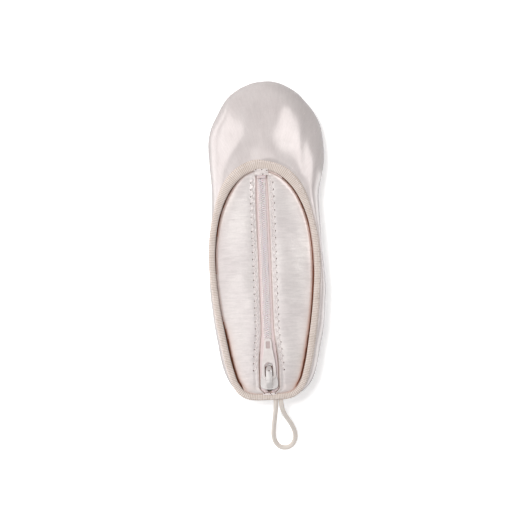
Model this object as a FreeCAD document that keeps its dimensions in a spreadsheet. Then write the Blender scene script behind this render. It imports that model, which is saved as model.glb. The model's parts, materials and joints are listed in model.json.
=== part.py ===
import FreeCAD, Part
import math
import os
import Sketcher

# A zip pouch shaped like a ballet slipper, in millimetres.
# X runs across the pouch, +Y runs from the heel to the toe and +Z is up.
# The origin is on the standing surface, under the middle of the pouch without its hanging loop.

V = FreeCAD.Vector
UP = V(0, 0, 1)

# Driving dimensions: alias, value, meaning.
DIMENSIONS = [
    ("toe_y", 101.6, "toe end of the pouch"),
    ("heel_y", -101.6, "heel end of the pouch"),
    ("half_width", 36.4, "half the width of the rear part"),
    ("top_z", 46.0, "height of the edge that the binding covers"),
    ("sole_thickness", 1.5, "outsole"),
    ("outsole_inset", 6.0, "outsole edge inside the feather line"),
    ("satin_thickness", 0.8, "outer cloth"),
    ("padding_thickness", 2.0, "foam interlining"),
    ("lining_thickness", 0.6, "lining cloth"),
    ("margin_width", 9.0, "upper folded under the sole board"),
    ("insole_gap", 0.4, "sole lining to the wall lining"),
    ("throat_toe_y", 45.0, "toe end of the throat"),
    ("throat_heel_y", -98.0, "heel end of the throat"),
    ("throat_half_width", 31.7, "half the width of the throat"),
    ("throat_cut_z", 42.4, "lowest level of the throat cut"),
    ("binding_thickness", 1.4, "folded tape on the top edge"),
    ("binding_fold", 0.8, "tape that turns down inside the throat"),
    ("binding_fold_z", 42.9, "lower edge of the turned tape"),
    ("binding_side", 3.8, "width of the tape at the sides"),
    ("binding_front", 6.4, "width of the tape at the toe end of the throat"),
    ("binding_heel", 3.4, "width of the tape at the heel"),
    ("panel_gap", 0.5, "panel edge to the binding"),
    ("panel_edge_x", 6.2, "folded panel edge beside the zip"),
    ("panel_z", 45.2, "underside of the panels"),
    ("panel_thickness", 1.0, "folded satin panel"),
    ("panel_lining_z", 44.2, "underside of the panel linings"),
    ("panel_lining_thickness", 0.4, "panel lining"),
    ("panel_lining_x", 6.8, "inner edge of the panel linings"),
    ("tape_z", 44.7, "underside of the zip tapes"),
    ("tape_thickness", 0.5, "zip tape"),
    ("tape_inner_x", 1.4, "tape edge under the coils"),
    ("tape_outer_x", 13.0, "tape edge under the panels"),
    ("coil_width", 2.7, "one row of the coil"),
    ("coil_height", 2.2, "thickness of the coil"),
    ("coil_gap", 0.3, "gap between the two rows"),
    ("coil_toe_y", 38.6, "toe end of the chain"),
    ("slider_nose_y", -94.8, "nose of the slider, at the heel"),
    ("slider_tail_y", -79.8, "tail of the slider, towards the toe"),
    ("slider_nose_half", 5.6, "half the width over the shoulders"),
    ("slider_tail_half", 4.3, "half the width of the tail"),
    ("slider_floor_z", 43.2, "underside of the lower plate"),
    ("slider_roof_z", 48.8, "top of the upper plate"),
    ("channel_floor_z", 44.4, "bottom of the chain's channel"),
    ("channel_roof_z", 47.7, "top of the chain's channel"),
    ("channel_half", 3.2, "half the width of the channel"),
    ("slot_roof_z", 45.5, "top of the side slots for the tapes"),
    ("web_length", 4.0, "post between the two plates"),
    ("web_half", 1.1, "half the width of the post"),
    ("web_setback", 0.8, "post behind the nose"),
    ("cap_half", 2.0, "half the width of the crown"),
    ("cap_nose_y", -94.0, "nose end of the crown"),
    ("cap_tail_y", -80.0, "tail end of the crown"),
    ("cap_height", 3.4, "crown above the upper plate"),
    ("cap_wall", 1.0, "roof of the crown"),
    ("cap_nose_leg", 5.4, "solid nose end of the crown"),
    ("cap_tail_leg", 2.4, "tail leg of the crown"),
    ("spring_thickness", 0.3, "lock spring strip"),
    ("spring_half", 0.8, "half the width of the lock spring"),
    ("pull_z", 49.3, "underside of the pull as it lies"),
    ("pull_thickness", 1.2, "pull tab"),
    ("bar_y", -87.8, "heel end of the pull, a bar that passes under the crown"),
    ("bar_width", 1.2, "bar along the pull"),
    ("eye_half", 4.4, "half the width of the pull at its eye"),
    ("eye_wall", 1.7, "metal at each side of the eye"),
    ("eye_toe_y", -80.2, "centre of the eye's round end"),
    ("pull_end_y", -62.4, "free end of the pull"),
    ("pull_end_half", 2.3, "half the width of the free end"),
    ("recess_y", -68.6, "heel side of the recess in the pull"),
    ("recess_length", 4.4, "recess along the pull"),
    ("recess_half", 1.3, "half the width of the recess"),
    ("recess_depth", 0.5, "depth of the recess"),
    ("tack_half", 4.0, "half the length of the bar tacks"),
    ("toe_tack_width", 4.1, "bar tack at the toe, along the zip"),
    ("heel_tack_width", 1.1, "bar tack at the heel, along the zip"),
    ("tack_hold", 0.1, "bar tacks sewn into the binding"),
    ("tack_z", 45.5, "underside of the bar tacks"),
    ("tack_height", 1.5, "bar tack"),
    ("thread_width", 0.45, "sewing thread"),
    ("thread_height", 0.3, "sewing thread above the cloth"),
    ("zigzag_x", 7.1, "middle line of the zigzag topstitch"),
    ("zigzag_swing", 0.7, "swing of the zigzag each way"),
    ("zigzag_step", 2.2, "one zigzag stitch along the zip"),
    ("cord_diameter", 3.0, "hanging loop"),
]

# Outlines from heel to toe: share of the length, share of the half width.
LAST_SHARES = [
    (0.010, 0.41),
    (0.037, 0.64),
    (0.082, 0.79),
    (0.172, 0.91),
    (0.341, 1.0),
    (0.510, 0.962),
    (0.649, 0.945),
    (0.779, 1.016),
    (0.868, 0.967),
    (0.938, 0.758),
    (0.983, 0.426),
]
THROAT_SHARES = [
    (0.011, 0.457),
    (0.050, 0.618),
    (0.121, 0.726),
    (0.249, 0.839),
    (0.434, 0.959),
    (0.605, 1.0),
    (0.747, 0.934),
    (0.847, 0.795),
    (0.925, 0.593),
    (0.975, 0.347),
]

# Level sections of the last, from the sole to the top edge:
# share of the height, share of the waist-to-toe length, distance in from the heel end, share of the width.
WAIST_SHARE = 0.51
SECTIONS = [
    (0.00, 0.900, 5.0, 0.870),
    (0.12, 0.975, 1.2, 0.970),
    (0.37, 1.000, 0.0, 1.000),
    (0.64, 0.970, 0.0, 0.995),
    (0.84, 0.865, 0.1, 0.985),
    (1.00, 0.610, 0.2, 0.975),
]

# Route of the hanging loop, from one end under the binding to the other.
LOOP_ROUTE = [
    V(3.6, -100.9, 43.4),
    V(3.5, -106.2, 41.4),
    V(2.8, -112.3, 32.0),
    V(1.8, -119.4, 19.8),
    V(1.1, -126.5, 9.0),
    V(2.5, -132.0, 3.4),
    V(6.0, -135.2, 2.0),
    V(11.0, -135.2, 2.0),
    V(14.6, -132.0, 3.4),
    V(15.8, -126.5, 9.1),
    V(13.6, -119.4, 20.0),
    V(9.2, -112.3, 32.1),
    V(6.9, -106.2, 41.5),
    V(6.8, -100.9, 43.5),
]

doc = FreeCAD.newDocument("slipper_pouch")
sheet = doc.addObject("Spreadsheet::Sheet", "Sizes")
for row, (alias, value, meaning) in enumerate(DIMENSIONS, 1):
    sheet.set(f"A{row}", meaning)
    sheet.set(f"B{row}", str(value))
    sheet.setAlias(f"B{row}", alias)
doc.recompute()

nodes = []


def size(alias):
    """The value of one driving dimension."""
    return float(sheet.get(alias))


def named(words):
    """An expression with every alias written as a reference to the sheet."""
    out = []
    for word in words.split():
        out.append("Sizes." + word if word[0].isalpha() else word)
    return " ".join(out)


def node(item, label):
    """Registers an object as a sub-part that gets a file of its own."""
    item.Label = label
    nodes.append(item)
    return item


def bind(item, **expressions):
    """Binds properties to the sheet; __ in a name stands for a dot."""
    for name, words in expressions.items():
        item.setExpression(name.replace("__", "."), named(words))


def box(name, x, y, z, length, width, height):
    """A box bound to the sheet, placed by its lowest corner."""
    item = doc.addObject("Part::Box", name)
    bind(item, Length=length, Width=width, Height=height)
    bind(item, Placement__Base__x=x, Placement__Base__y=y, Placement__Base__z=z)
    return item


def cylinder(name, x, y, z, radius, height):
    """An upright cylinder bound to the sheet."""
    item = doc.addObject("Part::Cylinder", name)
    bind(item, Radius=radius, Height=height)
    bind(item, Placement__Base__x=x, Placement__Base__y=y, Placement__Base__z=z)
    return item


def fuse(name, *items):
    item = doc.addObject("Part::MultiFuse", name)
    item.Shapes = list(items)
    item.Refine = True
    return item


def cut(name, base, tool):
    item = doc.addObject("Part::Cut", name)
    item.Base = base
    item.Tool = tool
    return item


def common(name, *items):
    item = doc.addObject("Part::MultiCommon", name)
    item.Shapes = list(items)
    return item


def feature(name, shape):
    item = doc.addObject("Part::Feature", name)
    item.Shape = shape
    return item


# Outlines


def outline(heel, toe, half_width, shares):
    """Corner points of a closed outline that is the same on both sides of the Y axis."""
    right = [V(half_width * wide, heel + (toe - heel) * along, 0) for along, wide in shares]
    left = [V(-p.x, p.y, 0) for p in reversed(right)]
    return [V(0, heel, 0)] + right + [V(0, toe, 0)] + left


def grown(points, amount):
    """The outline moved outwards by amount(y), square to itself at each point."""
    moved = []
    for i, p in enumerate(points):
        along = points[(i + 1) % len(points)] - points[i - 1]
        outward = V(along.y, -along.x, 0).normalize()
        moved.append(p + outward * amount(p.y))
    return moved


def wire_at(points, z):
    """A smooth closed curve through the points, at height z, begun where the outline is nearly straight."""
    begin = max(range(len(points)), key=lambda i: points[i].x)
    lifted = [V(p.x, p.y, z) for p in points[begin:] + points[:begin]]
    curve = Part.BSplineCurve()
    curve.interpolate(Points=lifted, PeriodicFlag=True)
    return Part.Wire([curve.toShape()])


def plate(points, low, high):
    """The outline as a flat plate between two heights."""
    return Part.Face(wire_at(points, low)).extrude(UP * (high - low))


def last_section(section, inset):
    """Points of one level section of the last, inset from the outside."""
    _, toe_share, heel_in, width_share = SECTIONS[section]
    heel = size("heel_y")
    length = size("toe_y") - heel
    waist = heel + length * WAIST_SHARE
    points = outline(heel, size("toe_y"), size("half_width") * width_share, LAST_SHARES)
    placed = []
    for p in points:
        if p.y > waist:
            y = waist + (p.y - waist) * toe_share
        else:
            y = waist + (p.y - waist) * (waist - heel - heel_in) / (waist - heel)
        placed.append(V(p.x, y, 0))
    return grown(placed, lambda y: -inset)


def last_form(inset):
    """The solid inside the upper's outer face, inset by a thickness all round."""
    low = size("sole_thickness") + inset
    high = size("top_z") - inset
    wires = []
    for i, section in enumerate(SECTIONS):
        wires.append(wire_at(last_section(i, inset), low + (high - low) * section[0]))
    return Part.makeLoft(wires, True, False)


# Sole

feather_line = last_section(0, 0)
board_edge = grown(feather_line, lambda y: -size("margin_width"))
layers = [size("satin_thickness"), size("padding_thickness"), size("lining_thickness")]
wall = sum(layers)
board_top = size("sole_thickness") + wall

outsole_edge = grown(feather_line, lambda y: -size("outsole_inset"))
node(feature("Outsole", plate(outsole_edge, 0, size("sole_thickness"))), "outsole")
node(feature("SoleBoard", plate(board_edge, size("sole_thickness"), board_top)), "sole_board")
insole_edge = grown(feather_line, lambda y: -wall - size("insole_gap"))
insole = plate(insole_edge, board_top, board_top + size("lining_thickness"))
node(feature("SoleLining", insole), "sole_lining")

# Upper: three nested layers, open at the throat and under the sole board.

throat = outline(size("throat_heel_y"), size("throat_toe_y"), size("throat_half_width"), THROAT_SHARES)
throat_cut = grown(throat, lambda y: size("binding_fold"))
openings = plate(throat_cut, size("throat_cut_z"), size("top_z") + 5)
openings = openings.fuse(plate(board_edge, 0, board_top + 1))

depth = 0
outer_form = last_form(depth)
for name, thickness in zip(("upper_satin", "upper_padding", "upper_lining"), layers):
    depth += thickness
    inner_form = last_form(depth)
    node(feature(name.title().replace("_", ""), outer_form.cut(inner_form).cut(openings)), name)
    outer_form = inner_form

# Binding: a folded tape on the throat's edge, widest at the toe end.


def binding_width(y):
    """Width of the tape from the heel to the toe end of the throat."""
    heel = size("throat_heel_y")
    toe = size("throat_toe_y")
    side = size("binding_side")
    from_heel = min(1, (y - heel) / 25)
    to_toe = max(0, 1 - (toe - y) / 30)
    return (size("binding_heel") + (side - size("binding_heel")) * from_heel
            + (size("binding_front") - side) * to_toe)


binding_top = size("top_z") + size("binding_thickness")
band = plate(grown(throat, binding_width), size("top_z"), binding_top)
fold = plate(throat_cut, size("binding_fold_z"), size("top_z"))
hole = plate(throat, size("binding_fold_z") - 1, binding_top + 1)
binding = band.fuse(fold).cut(hole).removeSplitter()
node(feature("ThroatBinding", binding), "throat_binding")


def thread(start, end, z):
    """One flat stitch lying on a level surface."""
    along = end - start
    across = V(-along.y, along.x, 0).normalize() * (size("thread_width") / 2)
    corners = [start + across, end + across, end - across, start - across]
    corners = [V(p.x, p.y, z) for p in corners]
    return Part.Face(Part.makePolygon(corners + corners[:1])).extrude(UP * size("thread_height"))


STITCH = 2.2
STITCH_PITCH = 3.4
seam_line = wire_at(grown(throat, lambda y: 1.3), 0)
count = int(seam_line.Length / STITCH_PITCH)
seam_points = seam_line.discretize(Number=count * 3 + 1)
binding_threads = [thread(seam_points[3 * i], seam_points[3 * i + 2], binding_top) for i in range(count)]
node(feature("BindingStitches", Part.makeCompound(binding_threads)), "binding_stitches")

# Heel seam: short vertical stitches, half sunk in the satin.

SEAM_LOW_Z = 12.0
SEAM_COUNT = 9
seam_threads = []
for i in range(SEAM_COUNT):
    corner = V(-size("thread_width") / 2, size("heel_y") - 0.1, SEAM_LOW_Z + i * STITCH_PITCH)
    seam_threads.append(Part.makeBox(size("thread_width"), 0.5, STITCH, corner))
node(feature("HeelSeamStitches", Part.makeCompound(seam_threads)), "heel_seam_stitches")

# The two halves of the closure, mirrored about the zip.


def half(name, z, thickness, inner_x, outer_x, side, edge_gap):
    """A flat cloth piece inside the throat, between two distances from the zip's middle."""
    edge = grown(throat, lambda y: -edge_gap)
    low_z = size(z)
    area = feature(name + "Area", plate(edge, low_z, low_z + size(thickness)))
    x = inner_x if side > 0 else f"0 - {outer_x}"
    strip = box(name + "Strip", x, "throat_heel_y", z,
                f"{outer_x} - {inner_x}", "throat_toe_y - throat_heel_y", thickness)
    return common(name, area, strip)


def topstitch(side):
    """A zigzag row beside the zip, each stitch a little short of its needle holes."""
    first = size("coil_toe_y") - 2
    steps = int((first - size("slider_tail_y")) / size("zigzag_step"))
    holes = []
    for i in range(steps + 1):
        swing = size("zigzag_swing") * (1 if i % 2 else -1)
        holes.append(V(side * (size("zigzag_x") + swing), first - i * size("zigzag_step"), 0))
    shrink = 0.08
    stitches = []
    for a, b in zip(holes, holes[1:]):
        z = size("panel_z") + size("panel_thickness")
        stitches.append(thread(a + (b - a) * shrink, b - (b - a) * shrink, z))
    return Part.makeCompound(stitches)


for word, side in (("left", -1), ("right", 1)):
    name = word.title()
    wide = "throat_half_width"
    gap = size("panel_gap")
    node(half("Panel" + name, "panel_z", "panel_thickness", "panel_edge_x", wide, side, gap),
         "panel_" + word)
    node(half("PanelLining" + name, "panel_lining_z", "panel_lining_thickness", "panel_lining_x", wide,
              side, gap), "panel_lining_" + word)
    node(half("ZipTape" + name, "tape_z", "tape_thickness", "tape_inner_x", "tape_outer_x", side, gap),
         "zip_tape_" + word)
    near = "coil_gap / 2" if side > 0 else "0 - coil_gap / 2 - coil_width"
    coil_end = "slider_nose_y + web_setback + web_length"
    coil = box("Coil" + name, near, coil_end, "panel_z", "coil_width", f"coil_toe_y - ( {coil_end} )",
               "coil_height")
    rounded = doc.addObject("Part::Fillet", "ZipCoil" + name)
    rounded.Base = coil
    doc.recompute()
    long_edges = [i for i, e in enumerate(coil.Shape.Edges, 1) if e.Length > 2 * size("coil_width")]
    rounded.Edges = [(i, 0.8, 0.8) for i in long_edges]
    node(rounded, "zip_coil_" + word)
    node(feature("Topstitch" + name, topstitch(side)), "topstitch_" + word)
    stop_x = "tape_inner_x - 0.3" if side > 0 else "0 - tape_inner_x - 1.6"
    stop = box("TopStop" + name, stop_x, "slider_nose_y - 1.8", "tape_z - 0.1", "1.9", "1.3", "2.3")
    node(stop, "top_stop_" + word)

# Zip ends

toe_tack_y = "throat_toe_y + tack_hold - toe_tack_width"
toe_tack = box("ToeTack", "0 - tack_half", toe_tack_y, "tack_z", "2 * tack_half", "toe_tack_width",
               "tack_height")
heel_tack = box("HeelTack", "0 - tack_half", "throat_heel_y - tack_hold", "tack_z", "2 * tack_half",
                "heel_tack_width", "tack_height")
node(toe_tack, "zip_tack_toe")
node(heel_tack, "zip_tack_heel")
bottom_stop = box("BottomStop", "0 - coil_gap / 2 - coil_width", "coil_toe_y + 0.3", "tack_z",
                  "coil_gap + 2 * coil_width", f"{toe_tack_y} - coil_toe_y - 0.3", "2.1")
node(bottom_stop, "bottom_stop")

# Slider: a padded shield with a cross-shaped channel for the chain and its tapes, and a post at the nose.


def corner_sketch(body, plane, corners):
    """A closed sketch of straight sides; each corner's two distances from the origin are bound."""
    sketch = body.newObject("Sketcher::SketchObject", body.Name + "Sketch")
    planes = {f.Role: f for f in body.Origin.OriginFeatures}
    sketch.AttachmentSupport = [(planes[plane], "")]
    sketch.MapMode = "FlatFace"
    total = len(corners)
    spots = [V(10 * math.cos(2 * math.pi * i / total), 10 * math.sin(2 * math.pi * i / total), 0)
             for i in range(total)]
    for i in range(total):
        sketch.addGeometry(Part.LineSegment(spots[i], spots[(i + 1) % total]), False)
    for i in range(total):
        sketch.addConstraint(Sketcher.Constraint("Coincident", i, 2, (i + 1) % total, 1))
    for i, (across, along) in enumerate(corners):
        for kind, words, value in (("DistanceX", across, spots[i].x), ("DistanceY", along, spots[i].y)):
            index = sketch.addConstraint(Sketcher.Constraint(kind, -1, 1, i, 1, value))
            sketch.setExpression(f"Constraints[{index}]", named(words))
    return sketch


def both_sides(corners):
    """Right-hand corners followed by their mirror images."""
    return corners + [("0 - ( " + x + " )", y) for x, y in reversed(corners)]


def padded(body, corners, low, height):
    """A pad standing on a level plane at height low."""
    sketch = corner_sketch(body, "XY_Plane", corners)
    sketch.setExpression("AttachmentOffset.Base.z", named(low))
    pad = body.newObject("PartDesign::Pad", body.Name + "Pad")
    pad.Profile = sketch
    pad.setExpression("Length", named(height))
    doc.recompute()
    return pad


slider = doc.addObject("PartDesign::Body", "SliderBody")
shield = both_sides([
    ("slider_nose_half - 1.4", "slider_nose_y"),
    ("slider_nose_half", "slider_nose_y + 1.6"),
    ("slider_nose_half", "slider_nose_y + 6"),
    ("slider_tail_half", "slider_tail_y - 1"),
    ("slider_tail_half - 0.9", "slider_tail_y"),
])
padded(slider, shield, "slider_floor_z", "slider_roof_z - slider_floor_z")
solid_volume = slider.Shape.Volume
channel = both_sides([
    ("channel_half", "channel_roof_z"),
    ("channel_half", "slot_roof_z"),
    ("slider_nose_half + 1", "slot_roof_z"),
    ("slider_nose_half + 1", "channel_floor_z"),
])
channel_sketch = corner_sketch(slider, "XZ_Plane", channel)
pocket = slider.newObject("PartDesign::Pocket", "Channel")
pocket.Profile = channel_sketch
pocket.Type = "ThroughAll"
pocket.Midplane = True
doc.recompute()
print("slider channel removes", round(solid_volume - slider.Shape.Volume, 2), "mm3")
post = both_sides([
    ("web_half / 2", "slider_nose_y + web_setback"),
    ("web_half", "slider_nose_y + web_setback + 1.2"),
    ("web_half", "slider_nose_y + web_setback + web_length - 1.4"),
    ("web_half / 3", "slider_nose_y + web_setback + web_length - 0.3"),
])
padded(slider, post, "slider_floor_z", "slider_roof_z - slider_floor_z")
node(slider, "slider_body")

cap_length = "cap_tail_y - cap_nose_y"
cap_block = box("CapBlock", "0 - cap_half", "cap_nose_y", "slider_roof_z", "2 * cap_half", cap_length,
                "cap_height")
cap_round = doc.addObject("Part::Fillet", "CapRound")
cap_round.Base = cap_block
doc.recompute()
top_edges = [i for i, e in enumerate(cap_block.Shape.Edges, 1)
             if e.CenterOfMass.z > size("slider_roof_z") + size("cap_height") - 0.1]
cap_round.Edges = [(i, 0.7, 0.7) for i in top_edges]
hollow_length = f"{cap_length} - cap_nose_leg - cap_tail_leg"
cap_hollow = box("CapHollow", "0 - cap_half - 1", "cap_nose_y + cap_nose_leg", "slider_roof_z - 1",
                 "2 * cap_half + 2", hollow_length, "cap_height - cap_wall + 1")
node(cut("SliderCap", cap_round, cap_hollow), "slider_cap")

spring_top = "slider_roof_z + cap_height - cap_wall - 0.05"
spring_strip = box("SpringStrip", "0 - spring_half", "cap_nose_y + cap_nose_leg + 0.1",
                   f"{spring_top} - spring_thickness", "2 * spring_half", f"{hollow_length} - 0.2",
                   "spring_thickness")
spring_pin = box("SpringPin", "0 - spring_half / 2", "cap_tail_y - cap_tail_leg - 1.2",
                 "slider_roof_z + 0.1", "spring_half", "0.6", "cap_height - cap_wall - 0.15")
node(fuse("LockSpring", spring_strip, spring_pin), "lock_spring")

# Pull: a bar under the crown, an eye round it and a tapered tab with a plain recess.

pull_plate = doc.addObject("PartDesign::Body", "PullPlate")
padded(pull_plate, both_sides([
    ("eye_half - 1.4", "bar_y"),
    ("eye_half", "bar_y + 1.6"),
    ("eye_half", "eye_toe_y"),
    ("pull_end_half", "pull_end_y - 1.2"),
    ("pull_end_half - 1.1", "pull_end_y"),
]), "pull_z", "pull_thickness")
eye_reach = "( eye_half - eye_wall )"
through = ("pull_z - 1", "pull_thickness + 2")
eye_straight = box("EyeStraight", f"0 - {eye_reach}", "bar_y + bar_width", through[0], f"2 * {eye_reach}",
                   "eye_toe_y - bar_y - bar_width", through[1])
eye_round = cylinder("EyeRound", "0", "eye_toe_y", through[0], eye_reach, through[1])
eye = fuse("Eye", eye_straight, eye_round)
recess = box("Recess", "0 - recess_half", "recess_y", "pull_z + pull_thickness - recess_depth",
             "2 * recess_half", "recess_length", "recess_depth + 1")
node(cut("PullTab", cut("PullEye", pull_plate, eye), recess), "pull_tab")

# Hanging loop: straight runs joined by tangent arcs, each as large as its two runs allow.


def rounded_route(points, share=0.45):
    """The route's wire, with the radius of each arc."""
    edges = []
    radii = []
    last = points[0]
    for before, corner, after in zip(points, points[1:], points[2:]):
        back = before - corner
        ahead = after - corner
        reach = share * min(back.Length, ahead.Length)
        back.normalize()
        ahead.normalize()
        half_turn = (math.pi - back.getAngle(ahead)) / 2
        radii.append(reach / math.tan(half_turn))
        start = corner + back * reach
        end = corner + ahead * reach
        inward = (back + ahead).normalize()
        middle = corner + inward * (radii[-1] / math.cos(half_turn) - radii[-1])
        edges.append(Part.LineSegment(last, start).toShape())
        edges.append(Part.Arc(start, middle, end).toShape())
        last = end
    edges.append(Part.LineSegment(last, points[-1]).toShape())
    return Part.Wire(edges), radii


loop_path, loop_radii = rounded_route(LOOP_ROUTE)
cord_radius = size("cord_diameter") / 2
cord_section = Part.Wire([Part.Circle(LOOP_ROUTE[0], LOOP_ROUTE[1] - LOOP_ROUTE[0], cord_radius).toShape()])
loop_tube = loop_path.makePipeShell([cord_section], True, False)
node(feature("HeelLoop", loop_tube), "heel_loop")
print("loop length", round(loop_path.Length, 1), "radii", [round(r, 1) for r in loop_radii])
print("loop volume", round(loop_tube.Volume, 1), "section x length",
      round(math.pi * cord_radius ** 2 * loop_path.Length, 1))

# Every object must have computed, and every sub-part must be a valid solid, before anything is written.

doc.recompute()
for item in doc.Objects:
    if "Invalid" in item.State or "Error" in item.State:
        raise RuntimeError(f"{item.Label} did not compute")
labels = [item.Label for item in nodes]
if len(set(labels)) != len(labels):
    raise RuntimeError("two sub-parts share a name")
for item in nodes:
    shape = item.Shape
    if shape.isNull() or not shape.isValid() or not shape.Solids:
        raise RuntimeError(f"{item.Label} has no valid solid")

os.makedirs("parts", exist_ok=True)
for item in nodes:
    item.Shape.exportStep(f"parts/{item.Label}.step")
    b = item.Shape.BoundBox
    print(f"{item.Label:24s} solids {len(item.Shape.Solids):3d} volume {item.Shape.Volume:9.1f}  "
          f"x {b.XMin:7.1f} {b.XMax:7.1f}  y {b.YMin:7.1f} {b.YMax:7.1f}  z {b.ZMin:6.1f} {b.ZMax:6.1f}")
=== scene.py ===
import json
import math

import bmesh
import bpy
import numpy as np
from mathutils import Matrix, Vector
from numpy.linalg import norm


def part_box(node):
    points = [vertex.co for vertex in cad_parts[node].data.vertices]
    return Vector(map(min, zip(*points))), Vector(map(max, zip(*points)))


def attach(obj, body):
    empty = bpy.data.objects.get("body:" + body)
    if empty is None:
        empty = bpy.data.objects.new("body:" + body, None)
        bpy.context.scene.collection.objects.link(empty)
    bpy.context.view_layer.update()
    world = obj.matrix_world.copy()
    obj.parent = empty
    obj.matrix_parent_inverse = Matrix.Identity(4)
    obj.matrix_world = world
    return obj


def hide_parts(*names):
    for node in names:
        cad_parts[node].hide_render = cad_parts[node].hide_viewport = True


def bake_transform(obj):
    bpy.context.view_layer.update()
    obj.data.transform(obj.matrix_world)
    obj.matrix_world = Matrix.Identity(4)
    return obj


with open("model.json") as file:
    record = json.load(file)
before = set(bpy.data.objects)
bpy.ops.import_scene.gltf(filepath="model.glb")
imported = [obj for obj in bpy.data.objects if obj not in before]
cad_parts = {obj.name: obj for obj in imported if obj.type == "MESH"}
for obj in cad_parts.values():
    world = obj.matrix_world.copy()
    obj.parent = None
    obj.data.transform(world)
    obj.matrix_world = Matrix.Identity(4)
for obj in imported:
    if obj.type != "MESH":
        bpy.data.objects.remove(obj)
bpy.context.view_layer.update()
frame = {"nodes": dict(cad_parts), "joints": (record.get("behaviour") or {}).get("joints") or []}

# A zip pouch shaped like a ballet slipper, seen from straight above with its toe at the top.
# Lengths are metres; MM turns the millimetres below into metres.

MM = 0.001
TURN = 2 * math.pi
rng = np.random.default_rng(7)

upper_low, upper_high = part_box("upper_satin")
panel_low, panel_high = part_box("panel_left")
coil_low, coil_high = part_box("zip_coil_left")
slider_low, slider_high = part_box("slider_body")
pull_low, pull_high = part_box("pull_tab")
band_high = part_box("throat_binding")[1]
TAPE_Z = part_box("zip_tape_left")[1].z
SOLE_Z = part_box("outsole")[1].z
INSOLE_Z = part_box("sole_lining")[1].z

HEEL_Y = upper_low.y
TOE_Y = upper_high.y
EDGE_Z = upper_high.z
LENGTH = TOE_Y - HEEL_Y
HALF_WIDTH = 36.4 * MM
BAND_FRONT = 6.4 * MM
THROAT_HEEL_Y = -98.0 * MM
THROAT_TOE_Y = band_high.y - BAND_FRONT
THROAT_HALF = 31.7 * MM
JOINTS = {j["name"]: j for j in frame["joints"]}
HINGE_X = JOINTS["lip_right_open"]["pos_m"][0]

# Outlines from heel to toe: share of the length, share of the half width.
LAST_SHARES = [
    (0.010, 0.41), (0.037, 0.64), (0.082, 0.79), (0.172, 0.91), (0.341, 1.0), (0.510, 0.962),
    (0.649, 0.945), (0.779, 1.016), (0.868, 0.967), (0.938, 0.758), (0.983, 0.426),
]
THROAT_SHARES = [
    (0.011, 0.457), (0.050, 0.618), (0.121, 0.726), (0.249, 0.839), (0.434, 0.959), (0.605, 1.0),
    (0.747, 0.934), (0.847, 0.795), (0.925, 0.593), (0.975, 0.347),
]
# Which share of the throat's line faces which share of the last's, from heel to toe.
LAST_MATCH = [0, 0.062, 0.104, 0.147, 0.224, 0.366, 0.507, 0.623, 0.731, 0.806, 0.872, 0.934, 1]
THROAT_MATCH = [0, 0.079, 0.123, 0.178, 0.275, 0.476, 0.673, 0.772, 0.857, 0.910, 0.948, 0.976, 1]


# Camera: straight down, turned a little so that the zip leans as it does on the table.

CAMERA_HEIGHT = 1.53
VIEW_WIDTH = 340.5 * MM
VIEW_LEVEL = 30 * MM
SENSOR = 36
ROLL = math.radians(-2.25)


def new_object(name, data):
    item = bpy.data.objects.new(name, data)
    bpy.context.scene.collection.objects.link(item)
    return item


camera_data = bpy.data.cameras.new("Camera")
camera_data.sensor_width = SENSOR
camera_data.lens = SENSOR * (CAMERA_HEIGHT - VIEW_LEVEL) / VIEW_WIDTH
camera = new_object("Camera", camera_data)
camera.location = (0.7 * MM, -16.55 * MM, CAMERA_HEIGHT)
camera.rotation_euler = (0, 0, ROLL)
bpy.context.scene.camera = camera


# Materials

UV_UNIT = 10 * MM


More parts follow.
